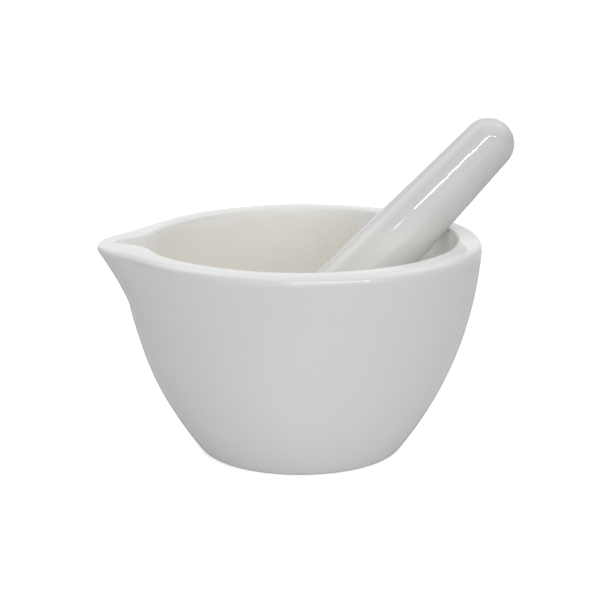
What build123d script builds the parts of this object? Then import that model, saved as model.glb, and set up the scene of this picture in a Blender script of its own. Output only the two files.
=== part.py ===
from build123d import *
import math
import os

# Porcelain mortar with a pouring spout, and the pestle that stands in it.
#
# The origin is the centre of the mortar's foot, on the surface it stands on. +Z is up, the
# spout points along -X, and the pestle leans towards +X. All lengths are in millimetres.

# Mortar: the bowl before its spout is drawn out
HEIGHT = 60.0
RIM_DIAMETER = 100.4
RIM_THICKNESS = 7.1
FOOT_DIAMETER = 55.8
FLOOR_THICKNESS = 7.2
FOOT_ROUNDING = 2.9
RIM_OUTER_ROUNDING = 1.0
RIM_INNER_ROUNDING = 0.7

# The walls are drawn past the rim and trimmed to it
TRIM = 1.5
WALL_TOP = HEIGHT + TRIM
SEAM_HEIGHT = 22.0

# Spout: how far it is drawn out at the rim, where that starts, and how fast it grows upwards
SPOUT_OUTER_REACH = 8.4
SPOUT_OUTER_START = 43.0
SPOUT_INNER_REACH = 9.0
SPOUT_INNER_START = 42.0
SPOUT_POWER = 1.4
SPOUT_OUTER_HALF_ANGLE = 34.0
SPOUT_INNER_HALF_ANGLE = 19.0
SPOUT_OUTER_SHOULDER = 12.2
SPOUT_INNER_SHOULDER = 7.0
SPOUT_OUTER_SHARPNESS = 0.8
SPOUT_INNER_SHARPNESS = 0.0

# Flanks: how far the wall beside the spout is pulled in at the rim, and how soon
FLANK_OUTER_PULL = 1.8
FLANK_INNER_PULL = 0.9
FLANK_OUTER_LEAD = 3.8
FLANK_INNER_LEAD = 1.7
WALL_FLAT = 0.55
WALL_FLAT_START = 22.0
WALL_FLAT_FULL = 34.0

# The lip dips towards the tip of the spout along an arc that is tangent to the flat rim
DIP_START = 22.0
DIP_RADIUS = 390.0

# Pestle: a tapered handle with a rounded end, swelling into a ball-ended grinding head
PESTLE_LENGTH = 111.0
HANDLE_END_RADIUS = 7.5
HANDLE_TAPER = 0.035
HEAD_RADIUS = 10.8
HANDLE_SWELL = 59.0
HEAD_SWELL = 23.5

# Pestle's resting place: the centre of its ball, and its lean from the vertical
BALL_OFFSET = 11.8
BALL_HEIGHT = 19.4
LEAN = 46.5
LEAN_AZIMUTH = 17.0

os.makedirs("parts", exist_ok=True)

rim_radius = RIM_DIAMETER / 2
foot_radius = FOOT_DIAMETER / 2
bowl_radius = rim_radius - RIM_THICKNESS


def height_rise(height, start):
    """0 up to the starting height, growing to 1 at the rim."""
    return max(0.0, (height - start) / (HEIGHT - start)) ** SPOUT_POWER


def outer_reach(height):
    """How far the outside stands out from the round wall at the spout."""
    flat = (height - WALL_FLAT_START) / (WALL_FLAT_FULL - WALL_FLAT_START)
    return (
        SPOUT_OUTER_REACH * height_rise(height, SPOUT_OUTER_START)
        - WALL_FLAT * min(1.0, max(0.0, flat))
    )


def inner_reach(height):
    """How far the channel is drawn out from the round bowl."""
    return SPOUT_INNER_REACH * height_rise(height, SPOUT_INNER_START)


def radius_at(wall, height):
    """Radius of a wall's curve at a height, found by halving."""
    low, high = 0.0, 1.0
    rising = (wall @ 1).Y > (wall @ 0).Y
    for _ in range(40):
        middle = (low + high) / 2
        if ((wall @ middle).Y < height) == rising:
            low = middle
        else:
            high = middle
    return (wall @ low).X


def mirrored(points):
    """The same curve on the other side of the spout, drawn the other way."""
    return [Vector(point.X, -point.Y) for point in reversed(points)]


def lip_outline(radius, reach, half_angle, shoulder, sharpness, pull, lead):
    """Half circle, joined by two pulled-in flanks to a spout on the -X side.

    With nothing drawn out or pulled in, it is a circle in the same five stretches.
    """
    if reach == 0 and pull == 0:
        ends = (-90, 90, 180 - half_angle, 180, 180 + half_angle, 270)
        for start, end in zip(ends, ends[1:]):
            CenterArc((0, 0), radius, start, end - start)
        return
    turn = math.radians(half_angle)
    spout_handle = 4 / 3 * math.tan(turn / 4) * radius
    flank_handle = 4 / 3 * math.tan((math.pi / 2 - turn) / 4) * radius
    towards_tip = Vector(-math.sin(turn), -math.cos(turn))
    side = Vector(0, radius)
    root = Vector(-math.cos(turn), math.sin(turn)) * (radius - pull)
    tip = Vector(-radius - reach, 0)
    flank = [
        side,
        side - Vector(flank_handle - lead, 0),
        root - towards_tip * flank_handle,
        root,
    ]
    spout = [
        root,
        root + towards_tip * (spout_handle + shoulder),
        tip + Vector(0, spout_handle - sharpness),
        tip,
    ]
    CenterArc((0, 0), radius, -90, 180)
    Bezier(*flank)
    Bezier(*spout)
    Bezier(*mirrored(spout))
    Bezier(*mirrored(flank))


# Wall curves as radius and height, from the axis outwards
with BuildLine() as outer_wall:
    Bezier((foot_radius, 0), (40.5, 16), (49.3, 35.7), (rim_radius + 0.2, WALL_TOP))

with BuildLine() as inner_wall:
    Bezier(
        (0, FLOOR_THICKNESS), (31, FLOOR_THICKNESS), (38.9, 24), (bowl_radius + 0.2, WALL_TOP)
    )


# Hollow: the round bowl below the seam, and the drawn-out bowl and channel above it
with BuildPart() as hollow:
    with BuildSketch(Plane.XZ):
        with BuildLine():
            add(inner_wall.line)
            Polyline(inner_wall.line @ 1, (0, WALL_TOP), (0, FLOOR_THICKNESS))
        make_face()
    revolve(axis=Axis.Z)
    split(bisect_by=Plane.XY.offset(SEAM_HEIGHT), keep=Keep.BOTTOM)
    for height in (SEAM_HEIGHT, 29, 36, 43, 46, 50, 54, 57.5, WALL_TOP):
        share = height_rise(height, SPOUT_INNER_START)
        with BuildSketch(Plane.XY.offset(height)):
            with BuildLine():
                lip_outline(
                    radius_at(inner_wall.line, height),
                    inner_reach(height),
                    SPOUT_INNER_HALF_ANGLE,
                    SPOUT_INNER_SHOULDER * share,
                    SPOUT_INNER_SHARPNESS * share,
                    FLANK_INNER_PULL * share,
                    FLANK_INNER_LEAD * share,
                )
            make_face()
    loft()


# Mortar: one fired piece, lofted through the outlines of its outside
with BuildPart() as mortar:
    for height in (0, 4, 9, 15, 22, 28, 34, 38, 42, 46, 50, 54, 57.5, WALL_TOP):
        share = height_rise(height, SPOUT_OUTER_START)
        with BuildSketch(Plane.XY.offset(height)):
            with BuildLine():
                lip_outline(
                    radius_at(outer_wall.line, height),
                    outer_reach(height),
                    SPOUT_OUTER_HALF_ANGLE,
                    SPOUT_OUTER_SHOULDER * share,
                    SPOUT_OUTER_SHARPNESS * share,
                    FLANK_OUTER_PULL * share,
                    FLANK_OUTER_LEAD * share,
                )
            make_face()
    loft()

    # Trim the rim flat, with the dip along the spout
    with BuildSketch(Plane.XZ):
        with BuildLine():
            dip = CenterArc((-DIP_START, HEIGHT - DIP_RADIUS), DIP_RADIUS, 90, 6)
            Polyline(
                dip @ 1,
                ((dip @ 1).X, WALL_TOP + TRIM),
                (rim_radius + TRIM, WALL_TOP + TRIM),
                (rim_radius + TRIM, HEIGHT),
                dip @ 0,
            )
        make_face()
    extrude(amount=rim_radius + TRIM, both=True, mode=Mode.SUBTRACT)
    lip_edges = mortar.edges().filter_by(lambda edge: edge.center().Z > HEIGHT - 2.5 * TRIM)
    fillet(lip_edges.filter_by(GeomType.LINE, reverse=True), radius=RIM_OUTER_ROUNDING)
    fillet(mortar.edges().group_by(Axis.Z)[0], radius=FOOT_ROUNDING)

    # Hollow it out, and ease the bowl's edge at the rim
    add(hollow.part, mode=Mode.SUBTRACT)
    bowl_edges = mortar.edges(Select.LAST).filter_by(
        lambda edge: edge.center().Z > HEIGHT - 2.5 * TRIM
    )
    fillet(bowl_edges.filter_by(GeomType.LINE, reverse=True), radius=RIM_INNER_ROUNDING)

mortar.part.label = "mortar"
export_step(mortar.part, "parts/mortar.step")


# Pestle: drawn on its own axis, with the ball's centre as the origin of its plane
azimuth = math.radians(LEAN_AZIMUTH)
lean = math.radians(LEAN)
handle_direction = Vector(
    math.sin(lean) * math.cos(azimuth), math.sin(lean) * math.sin(azimuth), math.cos(lean)
)
sideways = Vector(-math.sin(azimuth), math.cos(azimuth), 0)
ball_center = Vector(
    -BALL_OFFSET * math.cos(azimuth), -BALL_OFFSET * math.sin(azimuth), BALL_HEIGHT
)
pestle_plane = Plane(
    origin=ball_center, x_dir=handle_direction.cross(sideways), z_dir=sideways
)
end_center = PESTLE_LENGTH - HEAD_RADIUS - HANDLE_END_RADIUS

with BuildPart() as pestle:
    with BuildSketch(pestle_plane):
        with BuildLine():
            taper = math.atan(HANDLE_TAPER)
            ball = CenterArc((0, 0), HEAD_RADIUS, -90, 90)
            end = CenterArc(
                (0, end_center), HANDLE_END_RADIUS, math.degrees(taper), 90 - math.degrees(taper)
            )
            swell = end @ 0 + Vector(math.sin(taper), -math.cos(taper)) * HANDLE_SWELL
            Bezier(end @ 0, swell, ball @ 1 + Vector(0, HEAD_SWELL), ball @ 1)
            Line(end @ 1, ball @ 0)
        make_face()
    revolve(axis=Axis(ball_center, handle_direction))

pestle.part.label = "pestle"
export_step(pestle.part, "parts/pestle.step")
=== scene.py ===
import math

import bpy
import numpy as np
from mathutils import Matrix, Vector, noise


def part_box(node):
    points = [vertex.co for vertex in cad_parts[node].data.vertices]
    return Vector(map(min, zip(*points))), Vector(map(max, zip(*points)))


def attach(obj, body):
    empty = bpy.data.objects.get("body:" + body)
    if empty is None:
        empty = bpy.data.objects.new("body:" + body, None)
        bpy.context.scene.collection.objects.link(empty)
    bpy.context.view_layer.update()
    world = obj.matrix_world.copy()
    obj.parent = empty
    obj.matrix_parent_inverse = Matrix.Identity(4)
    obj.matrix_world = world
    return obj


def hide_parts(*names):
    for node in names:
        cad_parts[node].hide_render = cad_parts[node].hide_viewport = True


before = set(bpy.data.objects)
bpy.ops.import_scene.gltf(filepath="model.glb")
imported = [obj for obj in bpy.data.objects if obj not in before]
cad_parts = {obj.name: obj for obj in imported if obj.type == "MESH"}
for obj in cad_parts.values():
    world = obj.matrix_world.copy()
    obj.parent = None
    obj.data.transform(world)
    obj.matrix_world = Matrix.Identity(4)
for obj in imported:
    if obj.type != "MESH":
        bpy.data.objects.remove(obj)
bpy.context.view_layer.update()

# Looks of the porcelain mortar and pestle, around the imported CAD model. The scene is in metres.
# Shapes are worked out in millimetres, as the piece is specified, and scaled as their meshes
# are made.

MM = 0.001

# Mortar's driving dimensions, from the frame where its box gives them
_, mortar_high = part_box("mortar")
HEIGHT = mortar_high[2] / MM
RIM_RADIUS = mortar_high[0] / MM
RIM_THICKNESS = 7.1
BOWL_RADIUS = RIM_RADIUS - RIM_THICKNESS
FOOT_RADIUS = 27.9
FOOT_FLAT_RADIUS = 26.45
FOOT_ROUNDING = 2.9
FOOT_ROUND_END = 37.2
FLOOR_THICKNESS = 7.2
RIM_OUTER_ROUNDING = 2.4
RIM_INNER_ROUNDING = 1.1

# The walls are drawn past the rim and trimmed to it
WALL_TOP = HEIGHT + 1.5
OUTER_WALL = ((FOOT_RADIUS, 0), (40.5, 16), (49.3, 35.7), (RIM_RADIUS + 0.2, WALL_TOP))
INNER_WALL = (
    (0, FLOOR_THICKNESS), (31, FLOOR_THICKNESS), (38.9, 24), (BOWL_RADIUS + 0.2, WALL_TOP)
)
WALL_FLAT_START = 22
WALL_FLAT_FULL = 34
WALL_SAMPLES = 4001

# Inside, rings are spaced by height down to here, and along the wall's curve below it
EVEN_RINGS_END = 20.0

# Spout: its lip dips along an arc, and its edges are less rounded than the rim's
DIP_START = 22.0
DIP_RADIUS = 390.0
SPOUT_POWER = 1.4
SPOUT_BREADTH = 11
SPOUT_OUTER_ROUNDING = 1.0
SPOUT_INNER_ROUNDING = 0.7

# How far the glaze laps down into the bowl, and how it fades into the bare wall
GLAZE_LAP = 1.6
GLAZE_LAP_IN_SPOUT = 9.0
GLAZE_LAP_BY_HANDLE = 20.0
GLAZE_FADE_ABOVE = 3.0
GLAZE_FADE_BELOW = 5.0

# Pestle: its length and radii, where it rests, and where its glaze ends above the head
PESTLE_LENGTH = 111.0
HANDLE_END_RADIUS = 7.5
HANDLE_TAPER = 0.035
HEAD_RADIUS = 10.8
HANDLE_SWELL = 59.0
HEAD_SWELL = 23.5
BALL_OFFSET = 11.8
BALL_HEIGHT = 19.4
LEAN = math.radians(46.5)
LEAN_AZIMUTH = math.radians(17.0)
PESTLE_GLAZE_END = 34.0
PESTLE_GLAZE_FADE = 2.5
PESTLE_COLUMNS = 128


# ---------------------------------------------------------------- shapes


def bezier(points, t):
    """Points on a cubic Bezier curve, and their derivatives, for an array of parameters."""
    a, b, c, d = (np.asarray(p, float) for p in points)
    t = np.asarray(t, float)[..., None]
    place = (1 - t) ** 3 * a + 3 * (1 - t) ** 2 * t * b + 3 * (1 - t) * t * t * c + t**3 * d
    slope = 3 * (1 - t) ** 2 * (b - a) + 6 * (1 - t) * t * (c - b) + 3 * t * t * (d - c)
    return place, slope


class Wall:
    """One side of the mortar's wall: a round wall drawn out to a spout on the -X side.

    The rim beside the spout is pulled in, as it is when a spout is drawn out by hand.
    """

    def __init__(self, curve, reach, start, half_angle, shoulder, sharpness, pull, lead, flat=0.0):
        self.reach = reach
        self.start = start
        self.half_angle = math.radians(half_angle)
        self.shoulder = shoulder
        self.sharpness = sharpness
        self.pull = pull
        self.lead = lead
        self.flat = flat
        places, _ = bezier(curve, np.linspace(0, 1, WALL_SAMPLES))
        self.radii, self.heights = places.T

    def radius(self, height):
        """Radius of the round wall at a height."""
        return np.interp(height, self.heights, self.radii)

    def outline(self, height, radius=None):
        """Plan points (x, y) and outward normals of every column, each at its own height."""
        height = np.broadcast_to(np.asarray(height, float), COLUMN_PARTS.shape)
        radius = self.radius(height) if radius is None else np.broadcast_to(radius, height.shape)
        share = np.clip((height - self.start) / (HEIGHT - self.start), 0, None) ** SPOUT_POWER
        flat = (height - WALL_FLAT_START) / (WALL_FLAT_FULL - WALL_FLAT_START)
        reach = self.reach * share - self.flat * np.clip(flat, 0, 1)
        turn = self.half_angle
        zero = 0 * radius
        ahead = np.array([-math.sin(turn), -math.cos(turn)])
        spout_handle = 4 / 3 * math.tan(turn / 4) * radius
        flank_handle = 4 / 3 * math.tan((math.pi / 2 - turn) / 4) * radius
        side = np.stack([zero, radius], -1)
        root = (radius - self.pull * share)[:, None] * [-math.cos(turn), math.sin(turn)]
        tip = np.stack([-radius - reach, zero], -1)
        spout = (
            root,
            root + ahead * (spout_handle + self.shoulder * share)[:, None],
            tip + np.stack([zero, spout_handle - self.sharpness * share], -1),
            tip,
        )
        flank = (
            side,
            side + np.stack([self.lead * share - flank_handle, zero], -1),
            root - ahead * flank_handle[:, None],
            root,
        )
        on_spout = np.isin(COLUMN_PARTS, (UPPER_SPOUT, LOWER_SPOUT))
        place, slope = bezier(
            [np.where(on_spout[:, None], a, b) for a, b in zip(spout, flank)], COLUMN_PLACES
        )
        lower = np.isin(COLUMN_PARTS, (LOWER_SPOUT, LOWER_FLANK))
        place[lower, 1] *= -1
        slope[lower, 0] *= -1
        around = COLUMN_PARTS == ROUND
        angle = math.pi * (COLUMN_PLACES - 0.5)
        circle = np.stack([np.cos(angle), np.sin(angle)], -1)
        place[around] = (radius[:, None] * circle)[around]
        slope[around] = np.stack([-circle[:, 1], circle[:, 0]], -1)[around]
        slope /= np.linalg.norm(slope, axis=1)[:, None]
        return place, np.stack([slope[:, 1], -slope[:, 0]], -1)


# Columns of the mortar's mesh, anticlockwise from the spout's upper root: to its tip, to its
# lower root, along the lower flank, round the far half, and back along the upper flank
UPPER_SPOUT, LOWER_SPOUT, LOWER_FLANK, ROUND, UPPER_FLANK = range(5)
SPOUT_COLUMNS = 30
FLANK_COLUMNS = 46
ROUND_COLUMNS = 128
COLUMN_PARTS = np.repeat(
    [UPPER_SPOUT, LOWER_SPOUT, LOWER_FLANK, ROUND, UPPER_FLANK],
    [SPOUT_COLUMNS, SPOUT_COLUMNS, FLANK_COLUMNS, ROUND_COLUMNS, FLANK_COLUMNS],
)
COLUMN_PLACES = np.concatenate([
    np.arange(SPOUT_COLUMNS) / SPOUT_COLUMNS,
    1 - np.arange(SPOUT_COLUMNS) / SPOUT_COLUMNS,
    1 - np.arange(FLANK_COLUMNS) / FLANK_COLUMNS,
    np.arange(ROUND_COLUMNS) / ROUND_COLUMNS,
    np.arange(FLANK_COLUMNS) / FLANK_COLUMNS,
])
OUTER = Wall(
    OUTER_WALL, reach=8.4, start=43, half_angle=34, shoulder=12.2, sharpness=0.8,
    pull=1.8, lead=3.8, flat=0.55,
)
INNER = Wall(
    INNER_WALL, reach=9.0, start=42, half_angle=19, shoulder=7.0, sharpness=0.0,
    pull=0.9, lead=1.7,
)


def lip_top(wall):
    """Height of the lip above each column: flat round the rim, dipping along the spout."""
    top = np.full(len(COLUMN_PARTS), HEIGHT)
    for _ in range(3):
        beyond = np.clip(-wall.outline(top)[0][:, 0] - DIP_START, 0, None)
        top = HEIGHT - DIP_RADIUS + np.sqrt(DIP_RADIUS**2 - beyond**2)
    return top


def nearness_to_spout(wall):
    """1 at the spout's middle, falling to 0 at its roots and round the rest of the rim."""
    place = wall.outline(HEIGHT)[0]
    return np.exp(-((place[:, 1] / SPOUT_BREADTH) ** 4)) * (place[:, 0] < 0)


def ease(low, high, value):
    """0 below low, 1 above high, and smooth between."""
    share = np.clip((value - low) / (high - low), 0, 1)
    return share * share * (3 - 2 * share)


def ring(place, height):
    """Plan points raised to a height, or each to its own."""
    return np.column_stack([place, np.broadcast_to(height, len(place))])


def rounded_edge(wall, radius, outward, steps):
    """Rings over the lip's edge, tangent to the wall and to the lip's top.

    Outward is 1 on the outside and -1 in the bowl. Also gives the height each arc starts at.
    """
    top = lip_top(wall)
    start = top - radius
    for _ in range(4):
        place, normal = wall.outline(start)
        above, _ = wall.outline(start + 0.1)
        lean = outward * ((above - place) * normal).sum(1) / 0.1
        start = top - radius * (1 + lean / np.sqrt(1 + lean**2))
    inset = radius * (np.sqrt(1 + lean**2) + lean) - lean * (top - start)
    place, normal = wall.outline(start)
    rings = []
    for share in np.linspace(0, 1, steps):
        angle = share * math.pi / 2 - (1 - share) * np.arctan(lean)
        out = outward * (radius * np.cos(angle) - inset)
        rings.append(ring(place + out[:, None] * normal, top - radius * (1 - np.sin(angle))))
    return rings, start


def mortar_rings():
    """Rings of points from the foot's middle, up the outside, over the rim and down the bowl.

    Each comes with how bare of glaze it is, from 0 to 1.
    """
    rings = []
    count = len(COLUMN_PARTS)
    bare, glazed = np.ones(count), np.zeros(count)
    for share in (0.15, 0.35, 0.55, 0.75, 0.9, 0.97, 1.0):
        rings.append((ring(OUTER.outline(0, FOOT_FLAT_RADIUS * share)[0], 0), bare))
    for angle in np.radians(np.linspace(-90, -FOOT_ROUND_END, 9)[1:]):
        radius = FOOT_FLAT_RADIUS + FOOT_ROUNDING * math.cos(angle)
        height = FOOT_ROUNDING * (1 + math.sin(angle))
        worn = glazed + float(ease(-70, -85, math.degrees(angle)))
        rings.append((ring(OUTER.outline(height, radius)[0], height), worn))
    low = height
    at_spout = nearness_to_spout(OUTER)
    outer_round = RIM_OUTER_ROUNDING + (SPOUT_OUTER_ROUNDING - RIM_OUTER_ROUNDING) * at_spout
    inner_round = RIM_INNER_ROUNDING + (SPOUT_INNER_ROUNDING - RIM_INNER_ROUNDING) * at_spout
    rounding, bend = rounded_edge(OUTER, outer_round, 1, 13)
    for share in np.linspace(0, 1, 60)[1:-1]:
        height = low + (bend - low) * share
        rings.append((ring(OUTER.outline(height)[0], height), glazed))
    rings += [(place, glazed) for place in rounding]
    inside, bend = rounded_edge(INNER, inner_round, -1, 9)
    for share in (0.25, 0.5, 0.75):
        rings.append((rounding[-1] + (inside[-1] - rounding[-1]) * share, glazed))
    rings += [(place, glazed) for place in reversed(inside)]
    plan = INNER.outline(HEIGHT)[0]
    toward_handle = np.clip(plan[:, 0] / BOWL_RADIUS, 0, 1) ** 3
    lap = (
        GLAZE_LAP + GLAZE_LAP_IN_SPOUT * nearness_to_spout(INNER)
        + GLAZE_LAP_BY_HANDLE * toward_handle
    )
    for share in np.linspace(0, 1, 46)[1:]:
        height = bend + (EVEN_RINGS_END - bend) * share
        rings.append((
            ring(INNER.outline(height)[0], height),
            ease(lap - GLAZE_FADE_ABOVE, lap + GLAZE_FADE_BELOW, HEIGHT - height),
        ))
    last = np.interp(EVEN_RINGS_END, INNER.heights, np.linspace(0, 1, WALL_SAMPLES))
    for t in np.linspace(last, 0, 26)[1:-1]:
        (radius, height), _ = bezier(INNER_WALL, t)
        rings.append((ring(INNER.outline(height, radius)[0], height), bare))
    return rings


def pestle_rings():
    """Rings along the pestle, from the ball's end to the handle's end, on its own axis."""
    taper = math.atan(HANDLE_TAPER)
    end = PESTLE_LENGTH - HEAD_RADIUS - HANDLE_END_RADIUS
    end_place = np.array([
        HANDLE_END_RADIUS * math.cos(taper), end + HANDLE_END_RADIUS * math.sin(taper)
    ])
    ball_place = np.array([HEAD_RADIUS, 0.0])
    swell = end_place + np.array([math.sin(taper), -math.cos(taper)]) * HANDLE_SWELL
    profile = [
        (HEAD_RADIUS * math.cos(a), HEAD_RADIUS * math.sin(a))
        for a in np.radians(np.linspace(-90, 0, 31)[1:])
    ]
    side, _ = bezier(
        (ball_place, ball_place + [0, HEAD_SWELL], swell, end_place), np.linspace(0, 1, 110)[1:]
    )
    profile += [tuple(p) for p in side]
    profile += [
        (HANDLE_END_RADIUS * math.cos(a), end + HANDLE_END_RADIUS * math.sin(a))
        for a in np.linspace(taper, math.pi / 2, 26)[1:-1]
    ]
    angle = np.linspace(0, 2 * math.pi, PESTLE_COLUMNS, endpoint=False)
    circle = np.stack([np.cos(angle), np.sin(angle)], -1)
    rings = []
    for radius, along in profile:
        bare = float(ease(
            PESTLE_GLAZE_END + PESTLE_GLAZE_FADE, PESTLE_GLAZE_END - PESTLE_GLAZE_FADE,
            along + HEAD_RADIUS,
        ))
        rings.append((ring(radius * circle, along), np.full(PESTLE_COLUMNS, bare)))
    return rings, (0, 0, -HEAD_RADIUS), (0, 0, end + HANDLE_END_RADIUS)


def skin(name, rings, first, last, frame_matrix=None):
    """A closed quad mesh through rings of points, ending in a fan at each end."""
    count = len(rings[0][0])
    points = np.vstack([[first]] + [r[0] for r in rings] + [[last]])
    bare = np.concatenate([[rings[0][1][0]]] + [r[1] for r in rings] + [[rings[-1][1][0]]])
    faces = []
    for i in range(count):
        j = (i + 1) % count
        faces.append((0, 1 + j, 1 + i))
        for k in range(len(rings) - 1):
            a, b = 1 + k * count, 1 + (k + 1) * count
            faces.append((a + i, a + j, b + j, b + i))
        b = 1 + (len(rings) - 1) * count
        faces.append((b + i, b + j, len(points) - 1))
    mesh = bpy.data.meshes.new(name)
    scaled = points * MM
    if frame_matrix is not None:
        scaled = scaled @ np.array(frame_matrix.to_3x3()).T + np.array(frame_matrix.translation)
    mesh.from_pydata(scaled.tolist(), [], faces)
    mesh.polygons.foreach_set("use_smooth", [True] * len(faces))
    layer = mesh.attributes.new("bare", "FLOAT", "POINT")
    layer.data.foreach_set("value", bare.astype(np.float32))
    mesh.update()
    piece = bpy.data.objects.new(name, mesh)
    bpy.context.scene.collection.objects.link(piece)
    return piece


def ripple(piece, depth, length, seed, keep_below=None):
    """Sinks the surface a little, unevenly, as hand-finished and glazed porcelain is."""
    offset = Vector((seed, 2.3 * seed, -1.7 * seed))
    normals = [v.normal.copy() for v in piece.data.vertices]
    for v, normal in zip(piece.data.vertices, normals):
        if keep_below is not None and v.co.z < keep_below:
            continue
        wave = noise.noise(v.co / length + offset)
        wave += 0.4 * noise.noise(v.co / length * 2.7 + offset)
        v.co -= normal * depth * (0.5 + 0.5 * wave)
    piece.data.update()


# ---------------------------------------------------------------- materials


def node(tree, kind, inputs=(), **settings):
    """A shader node with its settings, and its inputs set or linked by name or number."""
    made = tree.nodes.new(kind)
    for key, value in settings.items():
        setattr(made, key, value)
    for key, value in dict(inputs).items():
        if isinstance(value, bpy.types.NodeSocket):
            tree.links.new(value, made.inputs[key])
        else:
            made.inputs[key].default_value = value
    return made


def mapped(tree, value, low, high, to_low, to_high):
    """A value taken smoothly from one range to another, and kept inside it."""
    made = node(
        tree, "ShaderNodeMapRange",
        {0: value, 1: low, 2: high, 3: to_low, 4: to_high}, interpolation_type="SMOOTHSTEP",
    )
    return made.outputs[0]


def mixed(tree, factor, a, b):
    """Two colours mixed by a factor; each is a colour or a socket."""
    made = node(tree, "ShaderNodeMix", {0: factor, 6: a, 7: b}, data_type="RGBA")
    return made.outputs[2]


MORTAR_GLAZE = (0.92, 0.92, 0.91, 1)
MORTAR_GLAZE_POOLED = (0.90, 0.905, 0.90, 1)
# The pestle's glaze is the mortar's same white glaze, set darker: painted shade for the pestle's
# darker tone
PESTLE_GLAZE_SHADED = (0.80, 0.80, 0.785, 1)
PESTLE_POOLED_GLAZE_SHADED = (0.78, 0.785, 0.78, 1)
BARE = (0.91, 0.885, 0.83, 1)
BARE_STAINED = (0.885, 0.855, 0.79, 1)
SPECK = (0.42, 0.38, 0.33, 1)
SPECK_SPACING = 0.011
GLAZE_ROUGHNESS = (0.04, 0.07)
BARE_ROUGHNESS = (0.5, 0.62)
RELIEF = 0.0004
REFRACTION = 1.54


def porcelain(name, glaze, glaze_pooled, worn):
    """White glaze over bare, cream, fine-grained porcelain, by the mesh's bare value."""
    material = bpy.data.materials.new(name)
    material.use_nodes = True
    tree = material.node_tree
    tree.nodes.clear()
    place = node(tree, "ShaderNodeTexCoord").outputs["Object"]

    def cloud(size, detail, offset=0.0):
        moved = node(
            tree, "ShaderNodeMapping", {"Vector": place, "Location": (offset, offset, offset)}
        )
        made = node(
            tree, "ShaderNodeTexNoise",
            {"Vector": moved.outputs[0], "Scale": 1 / size, "Detail": detail, "Roughness": 0.55},
        )
        return made.outputs["Fac"]

    # How bare the surface is, with an uneven edge to the glaze
    bare = node(tree, "ShaderNodeAttribute", attribute_name="bare").outputs["Fac"]
    ragged = node(
        tree, "ShaderNodeMath",
        {0: bare, 1: mapped(tree, cloud(0.006, 3), 0.3, 0.7, -0.16, 0.16)}, operation="ADD",
    ).outputs[0]
    mask = mapped(tree, ragged, 0.2, 0.8, 0.0, 1.0)

    # Thin glaze is dull before it lets the body's colour through
    dull = mapped(tree, ragged, 0.16, 0.4, 0.0, 1.0)

    # Glaze: thicker and cooler in places; bare body: stained by what was ground in it
    pooled = mixed(tree, mapped(tree, cloud(0.03, 3, 0.4), 0.35, 0.65, 0, 1), glaze, glaze_pooled)
    stain = mapped(tree, cloud(0.018, 5, 0.9), 0.42, 0.72, 0, worn)
    body = mixed(tree, stain, BARE, BARE_STAINED)
    grain = mapped(tree, cloud(0.00035, 2, 1.3), 0.3, 0.7, 0.97, 1.03)
    body = node(
        tree, "ShaderNodeVectorMath", {0: body, 3: grain}, operation="SCALE"
    ).outputs[0]
    colour = mixed(tree, mask, pooled, body)

    # Specks, small and few
    specks = node(
        tree, "ShaderNodeTexVoronoi",
        {"Vector": place, "Scale": 1 / SPECK_SPACING, "Randomness": 1.0},
    ).outputs["Distance"]
    speck = mapped(tree, specks, 0.0, 0.022, 0.35, 0.0)
    colour = mixed(tree, speck, colour, SPECK)

    smooth = mapped(tree, cloud(0.02, 4, 2.1), 0.35, 0.7, *GLAZE_ROUGHNESS)
    rough = mapped(tree, cloud(0.001, 3, 2.7), 0.3, 0.7, *BARE_ROUGHNESS)
    roughness = node(
        tree, "ShaderNodeMix", {0: dull, 2: smooth, 3: rough}, data_type="FLOAT"
    ).outputs[0]

    # Fine relief: soft orange peel under the glaze, tight grain where it is bare
    peel = cloud(0.0045, 2, 3.1)
    grit = cloud(0.0003, 3, 3.7)
    relief = node(
        tree, "ShaderNodeMix", {0: mask, 2: peel, 3: grit}, data_type="FLOAT"
    ).outputs[0]
    strength = mapped(tree, mask, 0, 1, 0.06, 0.16)
    bump = node(tree, "ShaderNodeBump", {"Strength": strength, "Height": relief})
    bump.inputs["Distance"].default_value = RELIEF
    shader = node(
        tree, "ShaderNodeBsdfPrincipled",
        {"Base Color": colour, "Roughness": roughness, "Normal": bump.outputs[0]},
    )
    shader.inputs["IOR"].default_value = REFRACTION
    shader.inputs["Specular IOR Level"].default_value = 0.5
    output = tree.nodes.new("ShaderNodeOutputMaterial")
    tree.links.new(shader.outputs[0], output.inputs[0])
    return material


def plain(name, grey, glow):
    """Matt paper of one grey, with a glow."""
    material = bpy.data.materials.new(name)
    material.use_nodes = True
    shader = material.node_tree.nodes["Principled BSDF"]
    shader.inputs["Base Color"].default_value = (grey, grey, grey, 1)
    shader.inputs["Roughness"].default_value = 1.0
    shader.inputs["Specular IOR Level"].default_value = 0.0
    shader.inputs["Emission Color"].default_value = (1, 1, 1, 1)
    shader.inputs["Emission Strength"].default_value = glow
    return material


# ---------------------------------------------------------------- pieces


mortar = skin("mortar_body", mortar_rings(), (0, 0, 0), (0, 0, FLOOR_THICKNESS))
ripple(mortar, depth=0.00008, length=0.014, seed=3.0, keep_below=0.0004)
mortar.data.materials.append(
    porcelain("mortar_porcelain", MORTAR_GLAZE, MORTAR_GLAZE_POOLED, worn=0.5)
)
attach(mortar, "mortar")
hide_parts("mortar")

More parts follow.
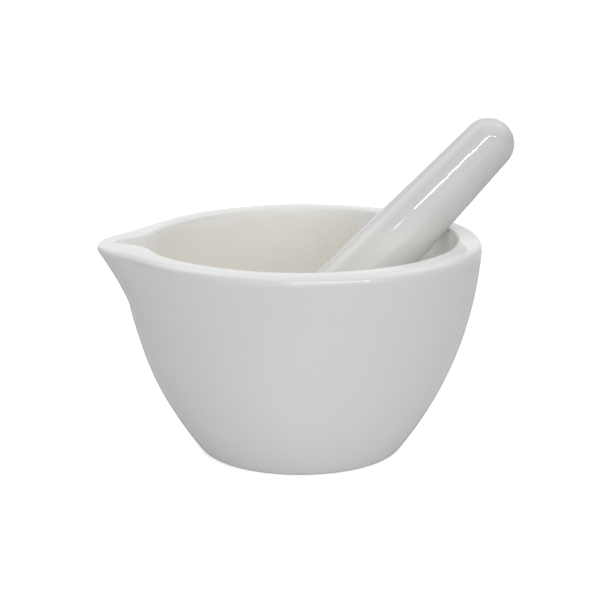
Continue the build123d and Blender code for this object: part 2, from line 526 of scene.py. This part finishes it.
handle_direction = Vector((
    math.sin(LEAN) * math.cos(LEAN_AZIMUTH),
    math.sin(LEAN) * math.sin(LEAN_AZIMUTH),
    math.cos(LEAN),
))
sideways = Vector((-math.sin(LEAN_AZIMUTH), math.cos(LEAN_AZIMUTH), 0))
ball_center = Vector((
    -BALL_OFFSET * math.cos(LEAN_AZIMUTH), -BALL_OFFSET * math.sin(LEAN_AZIMUTH), BALL_HEIGHT
)) * MM
pestle_frame = Matrix((
    sideways.cross(handle_direction), sideways, handle_direction
)).transposed().to_4x4()
pestle_frame.translation = ball_center
pestle = skin("pestle_body", *pestle_rings(), frame_matrix=pestle_frame)
ripple(pestle, depth=0.00009, length=0.011, seed=7.0)
# Pestle gets the darkened copy of the glaze colours: painted shade
pestle.data.materials.append(
    porcelain("pestle_porcelain", PESTLE_GLAZE_SHADED, PESTLE_POOLED_GLAZE_SHADED, worn=0.3)
)
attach(pestle, "pestle")
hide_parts("pestle")


# ---------------------------------------------------------------- studio


def dish(name, profile, material):
    """A round sheet through the radius and height of each point of its profile."""
    sides = 96
    turns = [i * math.tau / sides for i in range(sides)]
    points = [(0, 0, profile[0][1])] + [
        (radius * math.cos(turn), radius * math.sin(turn), height)
        for radius, height in profile for turn in turns
    ]
    faces = [(0, 1 + i, 1 + (i + 1) % sides) for i in range(sides)]
    for k in range(len(profile) - 1):
        a, b = 1 + k * sides, 1 + (k + 1) * sides
        faces += [
            (a + i, b + i, b + (i + 1) % sides, a + (i + 1) % sides) for i in range(sides)
        ]
    mesh = bpy.data.meshes.new(name)
    mesh.from_pydata(points, [], faces)
    mesh.polygons.foreach_set("use_smooth", [True] * len(faces))
    mesh.materials.append(material)
    made = bpy.data.objects.new(name, mesh)
    bpy.context.scene.collection.objects.link(made)
    return made


def paper_behind(spread, near, bend, radius, top):
    """White paper behind the object, fanning out and curving up, as its glaze reflects it."""
    turns = np.radians(np.linspace(0, 90, 9))
    profile = [(near, 0.0)] + [
        (bend + radius * math.sin(turn), radius * (1 - math.cos(turn))) for turn in turns
    ] + [(bend + radius, top)]
    half = math.tan(math.radians(spread))
    points = [(side * y * half, y, z) for y, z in profile for side in (-1, 1)]
    faces = [(2 * k, 2 * k + 1, 2 * k + 3, 2 * k + 2) for k in range(len(profile) - 1)]
    mesh = bpy.data.meshes.new("paper_behind")
    mesh.from_pydata(points, [], faces)
    mesh.materials.append(plain("white_paper", grey=0.0, glow=0.95))
    made = bpy.data.objects.new("paper_behind", mesh)
    bpy.context.scene.collection.objects.link(made)
    made.visible_camera = made.visible_diffuse = made.visible_shadow = False


FLOOR_REACH = 3.0
BACKDROP_BEND = 1.0
BACKDROP_TOP = 3.0
SHEET_RADIUS = 0.24

# White paper floor that curves up into a white backdrop, the sheet that bounces light, and the
# table and the paper behind that are seen only in the glaze
curve = [
    (FLOOR_REACH + BACKDROP_BEND * math.sin(t), BACKDROP_BEND * (1 - math.cos(t)))
    for t in np.radians(np.linspace(0, 90, 13))
]
floor = dish(
    "floor", curve + [(FLOOR_REACH + BACKDROP_BEND, BACKDROP_TOP)],
    plain("floor_paper", grey=0.8, glow=0.62),
)
floor.visible_diffuse = floor.visible_glossy = floor.visible_shadow = False
sheet = dish("sheet", [(SHEET_RADIUS, -0.0003)], plain("sheet_paper", grey=0.55, glow=0.1))
sheet.visible_camera = False
table = dish("table", [(FLOOR_REACH, -0.0008)], plain("table_paper", grey=0.0, glow=0.7))
table.visible_camera = table.visible_diffuse = table.visible_shadow = False
paper_behind(spread=28, near=0.25, bend=1.6, radius=0.5, top=1.0)

CENTER = Vector((0, 0, 0.035))
STRIP_DISTANCE = 1.2
STRIP_WIDTH = 0.028
STRIP_RADIANCE = 34.0


def aimed(azimuth, elevation):
    """Direction from the object. Azimuth 0 is the camera's side, 90 the +X side."""
    turn, rise = math.radians(azimuth), math.radians(elevation)
    return Vector((
        math.sin(turn) * math.cos(rise), -math.cos(turn) * math.cos(rise), math.sin(rise)
    ))


def strip_light(name, start, end):
    """A thin light between two directions, seen only as the bright line in the glaze."""
    a, b = (CENTER + STRIP_DISTANCE * aimed(*place) for place in (start, end))
    along = b - a
    away = ((a + b) / 2 - CENTER).normalized()
    away = (away - along * away.dot(along) / along.length_squared).normalized()
    light = bpy.data.lights.new(name, "AREA")
    light.shape = "RECTANGLE"
    light.size = along.length
    light.size_y = STRIP_WIDTH
    light.energy = STRIP_RADIANCE * light.size * light.size_y * math.pi
    made = bpy.data.objects.new(name, light)
    made.location = (a + b) / 2
    x_axis = along.normalized()
    made.rotation_euler = Matrix((x_axis, away.cross(x_axis), away)).transposed().to_euler()
    bpy.context.scene.collection.objects.link(made)
    made.visible_camera = made.visible_diffuse = False


strip_light("strip_left", (-17.5, 47.7), (-1, 42.5))
strip_light("strip_right", (-1, 42.5), (45, 34))

# Soft light from all round: the azimuth, elevation and level of each lobe, and how narrow it is
LOBE_POWER = 14
LOBES = (
    (0, 10, 2.1), (40, 10, 1.5), (-40, 10, 1.1), (120, 10, 0.3),
    (160, 10, 0.95), (-160, 10, 0.65), (0, 50, 1.2), (60, 50, 0.45),
    (120, 50, 1.75), (-120, 50, 2.0), (-165, 45, 0.6), (0, 90, 0.75),
)
world = bpy.data.worlds.new("studio")
bpy.context.scene.world = world
world.use_nodes = True
tree = world.node_tree
tree.nodes.clear()
direction = node(tree, "ShaderNodeTexCoord").outputs["Generated"]
level = 0.0
for azimuth, elevation, strength in LOBES:
    facing = node(
        tree, "ShaderNodeVectorMath", {0: direction, 1: tuple(aimed(azimuth, elevation))},
        operation="DOT_PRODUCT",
    ).outputs["Value"]
    facing = node(tree, "ShaderNodeMath", {0: facing, 1: 0.0}, operation="MAXIMUM").outputs[0]
    lobe = node(tree, "ShaderNodeMath", {0: facing, 1: LOBE_POWER}, operation="POWER").outputs[0]
    level = node(
        tree, "ShaderNodeMath", {0: lobe, 1: strength, 2: level}, operation="MULTIPLY_ADD"
    ).outputs[0]
above = node(
    tree, "ShaderNodeMath",
    {0: node(tree, "ShaderNodeSeparateXYZ", {0: direction}).outputs[2], 1: 0.0},
    operation="GREATER_THAN",
).outputs[0]
level = node(tree, "ShaderNodeMath", {0: level, 1: above}, operation="MULTIPLY").outputs[0]
background = node(tree, "ShaderNodeBackground", {0: (1, 1, 1, 1), 1: level})
output = tree.nodes.new("ShaderNodeOutputWorld")
tree.links.new(background.outputs[0], output.inputs[0])


# ---------------------------------------------------------------- camera

CAMERA_PLACE = (0.0, -0.4883, 0.1633)
CAMERA_PITCH = math.radians(14.144)
CAMERA_TURN = math.radians(-0.183)
CAMERA_ROLL = math.radians(-0.09)
FIELD_OF_VIEW = math.radians(19.25)

camera = bpy.data.objects.new("camera", bpy.data.cameras.new("camera"))
bpy.context.scene.collection.objects.link(camera)
camera.data.sensor_fit = "HORIZONTAL"
camera.data.angle = FIELD_OF_VIEW
camera.data.clip_start = 0.01
camera.location = CAMERA_PLACE
aim = Matrix.Rotation(CAMERA_TURN, 4, "Z") @ Matrix.Rotation(math.pi / 2 - CAMERA_PITCH, 4, "X")
camera.rotation_euler = (aim @ Matrix.Rotation(CAMERA_ROLL, 4, "Z")).to_euler()
bpy.context.scene.camera = camera

bpy.context.scene.view_settings.view_transform = "Standard"
bpy.context.scene.view_settings.look = "None"
